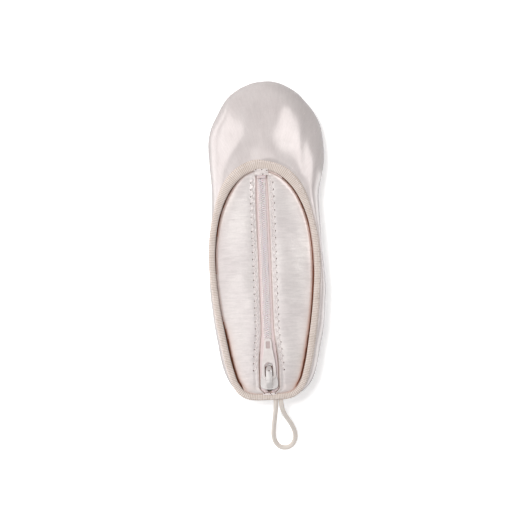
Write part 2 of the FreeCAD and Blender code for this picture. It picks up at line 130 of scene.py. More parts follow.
class Surface:
    """A node material under construction; its patterns lie on the piece's own UV map."""

    def __init__(self, name, roughness=0.5, **sockets):
        self.material = bpy.data.materials.new(name)
        self.material.use_nodes = True
        self.tree = self.material.node_tree
        self.shader = self.tree.nodes["Principled BSDF"].inputs
        self.shader["Roughness"].default_value = roughness
        for socket, value in sockets.items():
            self.shader[socket.replace("_", " ")].default_value = value
        self.normal = None
        self.coordinates = self.add("ShaderNodeUVMap", uv_map="weave")["UV"]

    def add(self, kind, inputs=(), **settings):
        """The outputs of a new node; each input is given a constant or linked to an output."""
        node = self.tree.nodes.new(kind)
        for name, value in settings.items():
            setattr(node, name, value)
        for socket, value in inputs:
            if isinstance(value, bpy.types.NodeSocket):
                self.tree.links.new(value, node.inputs[socket])
            else:
                node.inputs[socket].default_value = value
        return node.outputs

    def feed(self, socket, source):
        self.tree.links.new(source, self.shader[socket])

    def scaled(self, x, y):
        return self.add("ShaderNodeMapping", [("Scale", (x, y, 1)), ("Vector", self.coordinates)])["Vector"]

    def noise(self, x, y, detail=2.0, rough=0.5):
        inputs = [("Scale", 1), ("Detail", detail), ("Roughness", rough), ("Vector", self.scaled(x, y))]
        return self.add("ShaderNodeTexNoise", inputs)["Fac"]

    def lines(self, x, y):
        inputs = [("Scale", 1), ("Vector", self.scaled(x, y))]
        return self.add("ShaderNodeTexWave", inputs, wave_type="BANDS", bands_direction="DIAGONAL")["Fac"]

    def ramp(self, source, start, low, end=0.7, high=(1, 1, 1)):
        node = self.tree.nodes.new("ShaderNodeValToRGB")
        for element, place, color in zip(node.color_ramp.elements, (start, end), (low, high)):
            element.position = place
            element.color = (*color, 1)
        self.tree.links.new(source, node.inputs["Fac"])
        return node.outputs["Color"]

    def tinted(self, source, low, high):
        """A gentle change between two colours, given as a screen shows them."""
        return self.ramp(source, 0.3, srgb(low), 0.7, srgb(high))

    def multiplied(self, first, second):
        inputs = [(0, 1.0), (6, first), (7, second)]
        return self.add("ShaderNodeMix", inputs, data_type="RGBA", blend_type="MULTIPLY")[2]

    def with_painted_shade(self, color, painted_warm_shade):
        """The colour, turned towards a peach tint where the piece's second UV map says so: painted warm
        shade and reflected light.
        """
        warmth = self.add("ShaderNodeUVMap", uv_map="warmth")["UV"]
        share = self.add("ShaderNodeSeparateXYZ", [("Vector", warmth)])["X"]
        inputs = [(0, share), (6, color), (7, (*srgb(painted_warm_shade), 1))]
        return self.add("ShaderNodeMix", inputs, data_type="RGBA")[2]

    def vary_roughness(self, source, low, high):
        inputs = [("Value", source), ("To Min", low), ("To Max", high)]
        self.feed("Roughness", self.add("ShaderNodeMapRange", inputs)["Result"])

    def bump(self, source, depth, strength):
        inputs = [("Height", source), ("Distance", depth), ("Strength", strength)]
        if self.normal is not None:
            inputs.append(("Normal", self.normal))
        self.normal = self.add("ShaderNodeBump", inputs)["Normal"]
        self.feed("Normal", self.normal)


def srgb(color):
    """Linear colour from the 0 to 255 values that a screen shows."""
    shares = [value / 255 for value in color]
    return tuple(s / 12.92 if s <= 0.04045 else ((s + 0.055) / 1.055) ** 2.4 for s in shares)


def satin(name, low, high, slub, painted_warm_shade=None):
    """Pale satin: fine threads, thicker slub threads across it, fine mottling and a soft sheen; a given
    peach tint is mixed in as painted warm shade where the second UV map asks for it.
    """
    s = Surface(name, 0.36, Metallic=0.22, Specular_IOR_Level=0.55, Sheen_Weight=0.15,
                Sheen_Roughness=0.35)
    broad = s.tinted(s.noise(0.5, 0.35, 3), low, high)
    threads = s.ramp(s.noise(1.6, 30, 3, 0.65), 0.35, (1 - slub,) * 3, 0.62)
    slubs = s.ramp(s.noise(1.1, 6.0, 2, 0.6), 0.38, (1 - slub,) * 3, 0.6)
    mottle = s.ramp(s.noise(7, 7, 2, 0.6), 0.3, (0.95, 0.945, 0.945))
    cloth = s.multiplied(s.multiplied(broad, threads), s.multiplied(slubs, mottle))
    s.feed("Base Color", s.with_painted_shade(cloth, painted_warm_shade) if painted_warm_shade else cloth)
    s.vary_roughness(s.noise(1.6, 12, 3), 0.2, 0.3)
    s.bump(s.noise(9, 9, 2), 0.11 * MM, 0.4)
    s.bump(s.noise(1.1, 6.0, 2, 0.6), 0.14 * MM, 0.4)
    s.bump(s.noise(2.2, 30, 4, 0.7), 0.06 * MM, 0.5)
    return s.material


def weave(name, low, high, ribs_x=0, ribs_y=0, depth=0.08, roughness=0.8):
    """Woven cloth or tape with ribs at a given count per 10 mm; depth is in millimetres."""
    s = Surface(name, roughness, Specular_IOR_Level=0.2)
    broad = s.tinted(s.noise(1.5, 1.5, 3), low, high)
    s.feed("Base Color", s.multiplied(broad, s.ramp(s.noise(40, 40, 2), 0.3, (0.93, 0.92, 0.91))))
    if ribs_x:
        s.bump(s.lines(ribs_x, 0), depth * MM, 0.5)
    if ribs_y:
        s.bump(s.lines(0, ribs_y), depth * MM, 0.5)
    s.bump(s.noise(50, 50, 2), depth * MM * 0.6, 0.5)
    return s.material


def metal(name, low, high, roughness, metallic):
    """Cast and plated metal with faint unevenness."""
    s = Surface(name, roughness, Metallic=metallic)
    s.feed("Base Color", s.tinted(s.noise(2, 2, 3), low, high))
    s.vary_roughness(s.noise(8, 8, 3), roughness * 0.8, roughness * 1.25)
    s.bump(s.noise(14, 14, 2), 0.03 * MM, 0.5)
    return s.material


def enamel(name, low, high):
    """A thin coat of enamel over metal."""
    s = Surface(name, 0.3, Coat_Weight=0.35, Coat_Roughness=0.15)
    s.feed("Base Color", s.tinted(s.noise(3, 3, 2), low, high))
    s.vary_roughness(s.noise(9, 9, 2), 0.25, 0.38)
    s.bump(s.noise(10, 10, 1), 0.03 * MM, 0.4)
    return s.material


def nylon(name, low, high):
    """Moulded pink nylon, a little translucent and glossy."""
    s = Surface(name, 0.36, Subsurface_Weight=0.08, Subsurface_Scale=0.8 * MM)
    s.feed("Base Color", s.tinted(s.noise(4, 4, 2), low, high))
    s.bump(s.noise(30, 30, 2), 0.02 * MM, 0.4)
    return s.material


SATIN = satin("satin", (218, 208, 206), (227, 218, 216), 0.04)
# The panel satin's peach tint is painted warm shade and reflected light near the gap, the lip and the
# folded-under strip.
PANEL_SATIN = satin("panel_satin", (229, 220, 219), (242, 235, 232), 0.08, painted_warm_shade=(228, 196, 180))
LINING = weave("lining", (208, 184, 176), (218, 197, 190), 14, 14, 0.05)
BINDING = weave("binding_tape", (224, 211, 203), (235, 223, 216))
# The troughs between the ribs get a darker colour: painted shade in the grooves.
GROOVE_PAINTED_SHADE = weave("binding_groove_painted_shade", (196, 181, 171), (210, 196, 187))
# The tape's turned-under parts get a darker peach: painted shade.
TURN_PAINTED_SHADE = weave("binding_turn_painted_shade", (206, 170, 150), (218, 184, 166))
LOOP = weave("loop_cord", (224, 214, 206), (237, 229, 222), 26, 26)
TAPE = weave("zip_tape", (238, 224, 222), (246, 234, 232), 0, 22)
THREAD = weave("thread", (238, 228, 226), (250, 243, 241), depth=0.05, roughness=0.7)
SUEDE = weave("sole_suede", (198, 172, 160), (212, 189, 178), depth=0.25, roughness=0.95)
# A dark colour for discs and plates that stand for shade: in needle holes, in the crown's dimple and round
# the crown's foot.
SHADE = weave("painted_shade_dark", (96, 70, 62), (110, 84, 74), depth=0.03, roughness=0.9)
# Colours for the panel's painted shade: a brown line in the gap by the binding, and a grey-brown line along
# the lip beside the slider.
GAP_PAINTED_SHADE = weave("shaded_edge", (156, 102, 78), (174, 120, 96), 0, 8, 0.03, 0.9)
LIP_SHADE = weave("lip_shade", (150, 124, 112), (168, 142, 130), 0, 8, 0.03, 0.9)
# The tape's strip between the coil and the lip gets its own colour, standing in for the shade there:
# painted shade.
CHAIN_SHADE = weave("chain_shade", (238, 222, 222), (246, 232, 232), 0, 8, 0.03, 0.9)
METAL = metal("slider_metal", (216, 210, 208), (233, 228, 226), 0.24, 0.35)
STEEL = metal("spring_metal", (150, 148, 146), (176, 174, 170), 0.35, 0.9)
ENAMEL = enamel("pull_enamel", (220, 211, 208), (231, 223, 220))
# The recess floor's darker pink is painted shade in the recess.
RECESS_PAINTED_SHADE = enamel("pull_recess", (188, 170, 168), (200, 182, 180))
# The coil's colour is lifted almost to white to make up for the shade between its turns and in the chain's
# recess: painted light.
NYLON = nylon("zip_coil", (250, 240, 242), (254, 247, 248))
STOP = nylon("zip_stop", (212, 194, 194), (222, 206, 206))


# Mesh helpers


class Builder:
    """Collects vertices, faces, UV pairs in metres and material numbers for one mesh."""

    def __init__(self):
        self.verts = []
        self.faces = []
        self.uvs = []
        self.slots = []
        self.count = 0

    def add(self, verts, faces, uvs=None, slot=0):
        """Without UV pairs the pattern lies on the piece as seen from above."""
        verts = np.asarray(verts, float).reshape(-1, 3)
        uvs = verts[:, :2] if uvs is None else np.asarray(uvs, float).reshape(-1, 2)
        self.verts.append(verts)
        self.uvs.append(uvs / UV_UNIT)
        for face in faces:
            self.faces.append([i + self.count for i in face])
            self.slots.append(slot)
        self.count += len(verts)

    def add_painted_pit(self, x, y, top_z, bottom_z, radius, sides=8, squash=1.0, face_down=False):
        """The painted shade of a hole: a dark disc on the cloth, with a cone below it."""
        angles = np.arange(sides) * TURN / sides
        disc = [x + radius * np.cos(angles), y + radius * squash * np.sin(angles), np.full(sides, top_z)]
        faces = [[k, (k + 1) % sides, sides] for k in range(sides)]
        faces.append(list(range(sides))[::-1 if face_down else 1])
        verts = np.vstack([np.stack(disc, 1), [[x, y, bottom_z]]])
        self.add(verts, faces, np.zeros((sides + 1, 2)), slot=1)

    def make(self, name, materials, warmth=None):
        mesh = bpy.data.meshes.new(name)
        mesh.from_pydata(np.concatenate(self.verts).tolist(), [], self.faces)
        loops = np.zeros(len(mesh.loops), np.int32)
        mesh.loops.foreach_get("vertex_index", loops)
        maps = {"weave": np.concatenate(self.uvs)}
        # The second UV map carries the share of painted warm shade.
        if warmth is not None:
            maps["warmth"] = np.stack([warmth, np.zeros(len(warmth))], 1)
        for layer, pairs in maps.items():
            mesh.uv_layers.new(name=layer).data.foreach_set("uv", pairs[loops].astype(np.float32).ravel())
        for material in materials:
            mesh.materials.append(material)
        mesh.polygons.foreach_set("material_index", self.slots)
        mesh.polygons.foreach_set("use_smooth", [True] * len(mesh.polygons))
        mesh.update()
        return new_object(name, mesh)


def settle(item, body, slot, *nodes):
    """Puts a finished piece on its body, in the place of its nodes."""
    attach(item, body)
    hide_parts(*nodes)


def grid_faces(rows, columns, wrap_rows=False, wrap_columns=False, flip=False):
    """Quads over a grid whose vertices run along the columns first."""
    faces = []
    for i in range(rows if wrap_rows else rows - 1):
        for j in range(columns if wrap_columns else columns - 1):
            a = i * columns + j
            b = i * columns + (j + 1) % columns
            c = (i + 1) % rows * columns + (j + 1) % columns
            d = (i + 1) % rows * columns + j
            faces.append([d, c, b, a] if flip else [a, b, c, d])
    return faces


def unit(vectors):
    return vectors / norm(vectors, axis=-1, keepdims=True)


def travelled(points):
    """Length up to each point, down the first axis of a line or a grid."""
    steps = norm(np.diff(points, axis=0), axis=-1)
    return np.concatenate([np.zeros_like(steps[:1]), np.cumsum(steps, 0)])


def sampled(line, along, places):
    """Points of a line at the given places; along says where its own points lie."""
    return np.stack([np.interp(places, along, line[:, k]) for k in range(line.shape[1])], 1)


def tube(points, radius, sides=6):
    """Vertices, faces and UVs of a round tube along points, with closed ends."""
    points = np.asarray(points, float)
    along = unit(np.vstack([points[1:], points[-1:]]) - np.vstack([points[:1], points[:-1]]))
    side = np.cross(along[0], (0, 0, 1.0))
    if norm(side) < 1e-3:
        side = np.array([1.0, 0, 0])
    angles = np.arange(sides) * TURN / sides
    verts = []
    uvs = []
    for point, ahead, reach in zip(points, along, travelled(points)):
        side = unit(side - ahead * (side @ ahead))
        ring = np.cos(angles)[:, None] * side + np.sin(angles)[:, None] * np.cross(side, ahead)
        verts.append(point + ring * radius)
        uvs += [(angle * radius, reach) for angle in angles]
    faces = grid_faces(len(points), sides, wrap_columns=True)
    faces.append(list(range(sides)))
    faces.append([(len(points) - 1) * sides + i for i in reversed(range(sides))])
    return np.concatenate(verts), faces, uvs


def catmull(points, samples, closed=True):
    """A smooth line through the points, evenly spaced along its length."""
    points = np.asarray(points, float)
    if closed:
        padded = np.vstack([points[-1:], points, points[:2]])
    else:
        padded = np.vstack([2 * points[:1] - points[1:2], points, 2 * points[-1:] - points[-2:-1]])
    knots = np.concatenate([[0], np.cumsum(norm(np.diff(padded, axis=0), axis=1) ** 0.5)])
    out = []
    for i in range(len(padded) - 3):
        p0, p1, p2, p3 = padded[i:i + 4]
        t0, t1, t2, t3 = knots[i:i + 4]
        t = np.linspace(t1, t2, 40, endpoint=False)[:, None]
        a1 = (t1 - t) / (t1 - t0) * p0 + (t - t0) / (t1 - t0) * p1
        a2 = (t2 - t) / (t2 - t1) * p1 + (t - t1) / (t2 - t1) * p2
        a3 = (t3 - t) / (t3 - t2) * p2 + (t - t2) / (t3 - t2) * p3
        b1 = (t2 - t) / (t2 - t0) * a1 + (t - t0) / (t2 - t0) * a2
        b2 = (t3 - t) / (t3 - t1) * a2 + (t - t1) / (t3 - t1) * a3
        out.append((t2 - t) / (t2 - t1) * b1 + (t - t1) / (t2 - t1) * b2)
    out.append(padded[-2][None, :])
    line = np.concatenate(out)
    along = travelled(line)
    return sampled(line, along, np.linspace(0, along[-1], samples))


def ease(value, start, end):
    """0 before start, 1 after end and a smooth step between them."""
    share = np.clip((value - start) / (end - start), 0, 1)
    return share * share * (3 - 2 * share)


def half_line(shares, heel, toe, half, samples=400):
    """The right-hand half of an outline, from heel to toe, evenly spaced."""
    right = [(half * wide, heel + (toe - heel) * along) for along, wide in shares]
    loop = [(0, heel)] + right + [(0, toe)] + [(-x, y) for x, y in reversed(right)]
    return catmull(loop, samples * 2 - 1)[:samples]


LAST_LINE = half_line(LAST_SHARES, HEEL_Y, TOE_Y, HALF_WIDTH)
THROAT_LINE = half_line(THROAT_SHARES, THROAT_HEEL_Y, THROAT_TOE_Y, THROAT_HALF)
THROAT_ALONG = unit(np.gradient(THROAT_LINE, axis=0))
THROAT_OUT = np.stack([THROAT_ALONG[:, 1], -THROAT_ALONG[:, 0]], 1)
LINE_SHARE = np.linspace(0, 1, len(LAST_LINE))


def last_at(share, width=1.0, toe=1.0, heel_in=0.0):
    """Points of a level section of the last: scaled in width, with its toe and heel drawn in."""
    waist = HEEL_Y + LENGTH * 0.51
    points = sampled(LAST_LINE, LINE_SHARE, share)
    y = points[:, 1]
    front = waist + (y - waist) * toe
    rear = waist + (y - waist) * (waist - HEEL_Y - heel_in) / (waist - HEEL_Y)
    return np.stack([points[:, 0] * width, np.where(y > waist, front, rear)], 1)


def sole_line(share):
    """The lowest line of the last, round its sole."""
    return last_at(share, 0.83, 0.90, 4.5 * MM)


def lean(y):
    """How far the satin stands to the right of the zip's line: most at the toe, as on a right shoe."""
    toeward = 2.7 * MM * ease(y, 10 * MM, 62 * MM)
    return 1.1 * MM + toeward - 2.2 * MM * ease(y, 72 * MM, 100 * MM)


# Heel loop: the cord's route, in metres, from one end under the binding to the other.

LOOP_ROUTE = [
    (0.0036, -0.1009, 0.0434), (0.0035, -0.1062, 0.0414), (0.0028, -0.1123, 0.0320),
    (0.0018, -0.1194, 0.0198), (0.0011, -0.1265, 0.0090), (0.0025, -0.1320, 0.0034),
    (0.0060, -0.1352, 0.0020), (0.0110, -0.1352, 0.0020), (0.0146, -0.1320, 0.0034),
    (0.0158, -0.1265, 0.0091), (0.0136, -0.1194, 0.0200), (0.0092, -0.1123, 0.0321),
    (0.0069, -0.1062, 0.0415), (0.0068, -0.1009, 0.0435),
]
LOOP_DIAMETER = 0.003


def heel_loop():
    data = bpy.data.curves.new("heel_loop_cord", "CURVE")
    data.dimensions = "3D"
    spline = data.splines.new("NURBS")
    spline.points.add(len(LOOP_ROUTE) - 1)
    for point, place in zip(spline.points, LOOP_ROUTE):
        point.co = (*place, 1)
    spline.order_u = 3
    spline.use_endpoint_u = True
    data.resolution_u = 16
    data.bevel_depth = LOOP_DIAMETER / 2
    data.bevel_resolution = 6
    data.use_fill_caps = True
    data.materials.append(LOOP)
    item = new_object("heel_loop_cord", data)
    settle(item, "pouch", "loop_cord", "heel_loop")


heel_loop()


# Upper: a shell from the sole's edge, round the wall and over the toe to the throat.

AROUND = 440
UP_ROWS = 84
WIDEST_Z = 19 * MM
SOLE_MIDDLE = (0, -4 * MM)
PLEATS = 88


def both_halves(samples):
    """Shares along the right half and then back along the left, with the side of each point."""
    right = np.linspace(0, 1, samples // 2 + 1)
    left = right[-2:0:-1]
    return np.concatenate([right, left]), np.concatenate([np.ones(len(right)), -np.ones(len(left))])


def upper_points(inset, rows, bottom_z, edge_drop):
    """Grid of the upper's surface, inset from the outside: rows from the sole to the throat."""
    share, side = both_halves(AROUND)
    facing = np.interp(share, LAST_MATCH, THROAT_MATCH)
    wide = last_at(share)
    low = sole_line(share)
    top = sampled(THROAT_LINE, LINE_SHARE, facing) + sampled(THROAT_OUT, LINE_SHARE, facing) * 2.2 * MM
    wide = wide - np.stack([wide[:, 0] / HALF_WIDTH, wide[:, 1] / TOE_Y], 1) * inset
    boxy = (2.7 - 0.65 * ease(wide[:, 1], 5 * MM, 95 * MM))[:, None]
    grid = []
    for angle in np.linspace(-math.pi / 2, math.pi / 2, 160):
        across = abs(math.cos(angle)) ** (2 / boxy)
        rise = abs(math.sin(angle)) ** (2 / boxy)
        if angle < 0:
            flat = low + (wide - low) * across
            z = WIDEST_Z - (WIDEST_Z - bottom_z) * rise
        else:
            flat = top + (wide - top) * across
            z = WIDEST_Z + (EDGE_Z - edge_drop - WIDEST_Z) * rise
        grid.append(np.hstack([flat, z]))
    grid = np.array(grid)
    reach = travelled(grid)
    out = np.zeros((rows, grid.shape[1], 3))
    for k in range(grid.shape[1]):
        out[:, k] = sampled(grid[:, k], reach[:, k], np.linspace(0, reach[-1, k], rows))
    leaning = ease(-out[:, :, 2], -EDGE_Z - 1, -EDGE_Z + 6 * MM)
    out[:, :, 0] = out[:, :, 0] * side + lean(out[:, :, 1]) * leaning
    return out


def normals_of(grid):
    """Outward unit normals of a ring-shaped grid."""
    normal = np.cross(np.roll(grid, -1, 1) - np.roll(grid, 1, 1), np.gradient(grid, axis=0))
    return normal / (norm(normal, axis=2)[:, :, None] + 1e-12)


# Soft folds of the satin, as lines from the throat to the toe in millimetres seen from above,
# with the height of the ridge and its reach to the left and to the right.
FOLDS = [
    ([(-25, 47), (-17.2, 55.7), (-8.5, 69)], 1.5, 5, 8),
    ([(-8.5, 69), (-12, 74.7), (-17.6, 80), (-17.6, 97)], 1.3, 6, 15),
    ([(14, 43), (10, 52), (8, 62), (12, 72), (14, 83.5), (12, 97)], 3.0, 10, 12),
    ([(24, 42), (23.5, 56), (24.5, 65), (26, 76), (24, 90)], 1.0, 7, 3.6),
    ([(33, -60), (35.5, -20), (34.5, 20)], 0.9, 5, 5),
    ([(-34, -60), (-36, -20), (-35, 10)], 0.5, 4, 4),
    ([(-33, 74), (-25, 89), (-12, 100)], -2.0, 8, 6),
    ([(17, 99), (26, 90), (34, 76)], -0.8, 7, 7),
]


def fold_height(x, y):
    """Height of the soft folds at points seen from above; each fades out towards its two ends."""
    flat = np.stack([x.ravel(), y.ravel()], 1)
    total = np.zeros(len(flat))
    for points, height, left, right in FOLDS:
        line = catmull(np.array(points) * MM, 60, closed=False)
        along = unit(np.gradient(line, axis=0))
        offset = flat[:, None, :] - line[None]
        near = norm(offset, axis=2).argmin(1)
        gap = offset[np.arange(len(flat)), near]
        side = along[near, 0] * gap[:, 1] - along[near, 1] * gap[:, 0]
        distance = norm(gap, axis=1)
        sideways = side / np.maximum(distance, 0.01 * MM)
        reach = ((left + right) / 2 + (left - right) / 2 * sideways) * MM
        ends = np.sin(np.clip((near + 6) / 71, 0, 1) * math.pi) ** 0.5
        total += height * MM * ends * np.exp(-(distance / reach) ** 2)
    return total.reshape(x.shape)


def wave_noise(points, size, seed, count=9):
    """Smooth seeded unevenness in space, about -1 to 1, with features of a given size."""
    waves = np.random.default_rng(seed)
    total = np.zeros(points.shape[:-1])
    for _ in range(count):
        direction = waves.normal(size=3)
        direction *= TURN / (size * norm(direction) * waves.uniform(0.8, 1.8))
        total += np.sin(points @ direction + waves.uniform(0, TURN))
    return total / math.sqrt(count) / 1.4


def edit_mesh(item, change):
    """Runs a change on the piece's mesh as a bmesh."""
    work = bmesh.new()
    work.from_mesh(item.data)
    change(work)
    work.to_mesh(item.data)
    work.free()


def closed_shell(name, grid, uvs, material):
    """A piece from a ring-shaped grid, with its seam welded."""
    build = Builder()
    build.add(grid, grid_faces(*grid.shape[:2]), uvs)
    item = build.make(name, [material])
    edit_mesh(item, lambda work: bmesh.ops.remove_doubles(work, verts=work.verts, dist=0.01 * MM))
    return item


def thicken(item, thickness, rim=True):
    """Gives cloth its thickness, inwards of the surface."""
    change = item.modifiers.new("thickness", "SOLIDIFY")
    change.thickness = thickness
    change.offset = -1
    change.use_rim = rim


def upper():
    grid = upper_points(0, UP_ROWS, upper_low.z - 0.3 * MM, 0)
    height_share = np.clip((grid[:, :, 2] - upper_low.z) / (EDGE_Z - upper_low.z), 0, 1)
    free = ease(height_share, 0, 0.2)
    toeward = ease(grid[:, :, 1], 30 * MM, 80 * MM)
    by_throat = ease(np.arange(UP_ROWS)[::-1], 0, 4)[:, None]
    push = fold_height(grid[:, :, 0], grid[:, :, 1]) * free * by_throat
    push += wave_noise(grid, 42 * MM, 3) * 0.45 * MM * free
    push += wave_noise(grid, 17 * MM, 5) * 0.14 * MM * free
    crinkles = wave_noise(grid * [1.5, 0.7, 1], 8 * MM, 7, 14)
    push += crinkles * 0.055 * MM * free * (0.4 + 0.6 * toeward)
    around = np.arange(AROUND) / AROUND
    pleats = np.sin(around * TURN * PLEATS + 1.2 * np.sin(around * 37))
    near_sole = ease(-height_share, -0.2, -0.02)
    push += pleats * 0.33 * MM * near_sole * (0.35 + 0.65 * toeward)
    grid = grid + normals_of(grid) * push[:, :, None]
    turned_in = grid[-1] * [0.985, 0.99, 1] - [0, 0, 2.6 * MM]
    grid = np.concatenate([grid, turned_in[None]])
    grid = np.concatenate([grid, grid[:, :1]], 1)
    reach = travelled(grid)
    along = np.linspace(0, travelled(LAST_LINE)[-1] * 2, AROUND + 1)
    uvs = np.stack([reach, np.broadcast_to(along, reach.shape)], 2)
    item = closed_shell("satin_upper", grid, uvs, SATIN)
    thicken(item, 0.8 * MM)
    settle(item, "pouch", "satin", "upper_satin", "upper_padding")


def close_bottom(work):
    """Fills the open edge that lies just over the sole board."""
    edges = [e for e in work.edges if e.is_boundary and all(v.co.z < INSOLE_Z + 1 * MM for v in e.verts)]
    for face in bmesh.ops.contextual_create(work, geom=edges)["faces"]:
        face.smooth = True


def lining():
    """The lining cloth inside the walls and over the sole board."""
    grid = upper_points(3.6 * MM, 40, INSOLE_Z - 0.2 * MM, 3.0 * MM)
    grid = grid - normals_of(grid) * (3.2 * MM + 0.25 * MM * wave_noise(grid, 18 * MM, 11)[:, :, None])
    centre = np.array([*SOLE_MIDDLE, INSOLE_Z])
    floor = np.array([centre + (grid[0] - centre) * share for share in np.linspace(0.04, 0.96, 14)])
    floor[:, :, 2] = INSOLE_Z + 0.1 * MM
    grid = np.concatenate([floor, grid])
    item = closed_shell("inner_lining", np.concatenate([grid, grid[:, :1]], 1), None, LINING)
    edit_mesh(item, close_bottom)
    thicken(item, 0.4 * MM)
    settle(item, "pouch", "lining", "upper_lining", "sole_lining", "sole_board")


# The outsole's rings from its top face round the edge to the flat: inwards and down in millimetres.
SOLE_RINGS = [
    (1.2, 0.0), (0.0, 0.35), (0.0, 1.0), (0.35, 1.4), (1.0, 1.5), (2.2, 1.5), (2.6, 1.2), (3.0, 1.5),
    (3.4, 1.5),
]


def outsole():
    """The suede sole patch, with rounded edges and a stitched groove."""
    share, side = both_halves(240)
    edge = sole_line(share)
    inwards = unit(edge - SOLE_MIDDLE)
    rings = []
    for gap, depth in SOLE_RINGS:
        flat = edge - inwards * (gap * MM + 3.4 * MM)
        x = flat[:, 0] * side + 0.6 * MM
        rings.append(np.stack([x, flat[:, 1], np.full(len(x), SOLE_Z - depth * MM)], 1))
    grid = np.array(rings)
    rows, columns, _ = grid.shape
    build = Builder()
    build.add(grid, grid_faces(rows, columns, wrap_columns=True, flip=True))
    opposite = [-k % columns for k in range(columns // 2 + 1)]
    for first, down in ((0, False), ((rows - 1) * columns, True)):
        for k in range(columns // 2):
            corners = [k, k + 1, opposite[k + 1], opposite[k]]
            corners = [first + corner for corner in dict.fromkeys(corners)]
            build.faces.append(corners[::-1] if down else corners)
            build.slots.append(0)
    settle(build.make("suede_outsole", [SUEDE]), "pouch", "sole_suede", "outsole")


upper()
lining()
outsole()


# Binding: folded ribbed tape round the throat.

RIB_PITCH = 1.05 * MM
THREAD_SAMPLES = 2400

# The tape's section, round from inside the wall: outwards in millimetres, share of the visible width,
# height in millimetres and share of the ribs' relief.
BAND_SECTION = [
    (0.80, 0, -4.3, 0), (0.30, 0, -4.6, 0), (-0.15, 0, -4.2, 0.3), (-0.35, 0, -2.6, 0.6),
    (-0.40, 0, -1.2, 1), (-0.10, 0, -0.35, 1), (0.45, 0, 0.0, 1), (0.0, 0.35, 0.12, 1),
    (0.0, 0.6, 0.08, 1), (0.0, 0.82, -0.12, 1), (-0.35, 1, -0.5, 1), (-0.02, 1, -1.1, 1),
    (0.05, 1, -1.9, 0.6), (-0.5, 1, -2.1, 0), (0.0, 0.6, -1.5, 0), (1.0, 0, -1.6, 0),
]


def throat_loop(samples):
    """The whole throat line with its outward directions, evenly spaced, from the heel round."""
    share, side = both_halves(samples)
    flip = np.stack([side, np.ones(len(side))], 1)
    out = unit(sampled(THROAT_OUT, LINE_SHARE, share))
    return sampled(THROAT_LINE, LINE_SHARE, share) * flip, out * flip


def binding_width(y):
    """Visible width of the tape: narrow at the heel, widest at the toe end."""
    heel = 3.4 * MM + 0.4 * MM * ease(y, THROAT_HEEL_Y, THROAT_HEEL_Y + 25 * MM)
    return heel + 2.6 * MM * ease(y, THROAT_TOE_Y - 34 * MM, THROAT_TOE_Y)


def binding():
    length = travelled(THROAT_LINE)[-1] * 2
    points, out = throat_loop(int(length / RIB_PITCH) * 4)
    count = len(points)
    along = np.linspace(0, length, count, endpoint=False)
    width = binding_width(points[:, 1])
    width = width + 0.16 * MM * np.sin(along / (23 * MM)) + 0.1 * MM * np.sin(along / (7.3 * MM))
    rings = []
    for outwards, share, z, ribbed in BAND_SECTION:
        relief = ribbed * 0.1 * MM * np.cos(along / RIB_PITCH * TURN)
        reach = outwards * MM + width * share + (relief if share > 0.9 else 0)
        height = band_high.z + z * MM + relief + 0.12 * MM * np.sin(along / (31 * MM)) * ribbed
        rings.append(np.hstack([points + out * reach[:, None], height[:, None]]))
    grid = np.array(rings)
    uvs = np.stack(np.broadcast_arrays(along[None, :], travelled(grid[:, 0])[:, None]), 2)
    build = Builder()
    build.add(grid, grid_faces(len(rings), count, wrap_rows=True, wrap_columns=True), uvs)
    # Slot 1, the troughs between the ribs, is painted groove shade.
    ring, place = np.divmod(np.arange(len(build.slots)), count)
    # Slot 2, the turned-under rings inside the wall, is painted shade.
    build.slots = np.where((ring < 4) | (ring > 12), 2, np.isin(place % 4, (1, 2))).tolist()
    item = build.make("binding_tape", [BINDING, GROOVE_PAINTED_SHADE, TURN_PAINTED_SHADE])
    settle(item, "pouch", "binding_tape", "throat_binding")


def binding_threads():
    """Short stitches along the tape's inner side, each sunk at both ends."""
    points, out = throat_loop(THREAD_SAMPLES)
    step = int(3.4 * MM / travelled(points)[-1] * len(points))
    heights = band_high.z + np.array([[-0.16], [0.1], [-0.16]]) * MM
    build = Builder()
    for start in range(0, len(points) - step, step):
        picked = [start, start + step // 3, start + step * 2 // 3]
        flat = points[picked] + out[picked] * (binding_width(points[picked, 1]) * 0.72)[:, None]
        build.add(*tube(np.hstack([flat, heights]), 0.16 * MM))
    settle(build.make("binding_thread", [THREAD]), "pouch", "thread", "binding_stitches")


binding()
binding_threads()


# The closure: two satin panels beside the zip, each made in a front and a rear piece.

LIP_X = 3.9 * MM
SLIDER_LIP_X = 6.1 * MM
HEEL_LIP_X = 3.0 * MM
SLIDER_END_Y = slider_low.y + JOINTS["slider_travel"]["range_m"][1] - 2 * MM
PANEL_MIDDLE_Y = (THROAT_HEEL_Y + SLIDER_END_Y) / 2
LIP_Z = panel_high.z + 0.2 * MM
STITCH_FROM_LIP = 2.6 * MM
STITCH_STEP = 2.2 * MM
TUCK = 1.6 * MM
TURNED_UNDER = 7.5 * MM

# The strip folded under a panel, from its free edge to the lip: outwards and down in millimetres.
UNDER_FOLD = [(6.0, 1.65), (2.0, 1.75), (0.25, 1.7), (-0.2, 1.45), (-0.3, 1.1), (-0.22, 0.77)]


def apply_modifiers(item):
    """Writes the modifiers' result into the mesh."""
    if not item.modifiers:
        return
    graph = bpy.context.evaluated_depsgraph_get()
    mesh = bpy.data.meshes.new_from_object(item.evaluated_get(graph))
    old = item.data
    item.modifiers.clear()
    item.data = mesh
    bpy.data.meshes.remove(old)


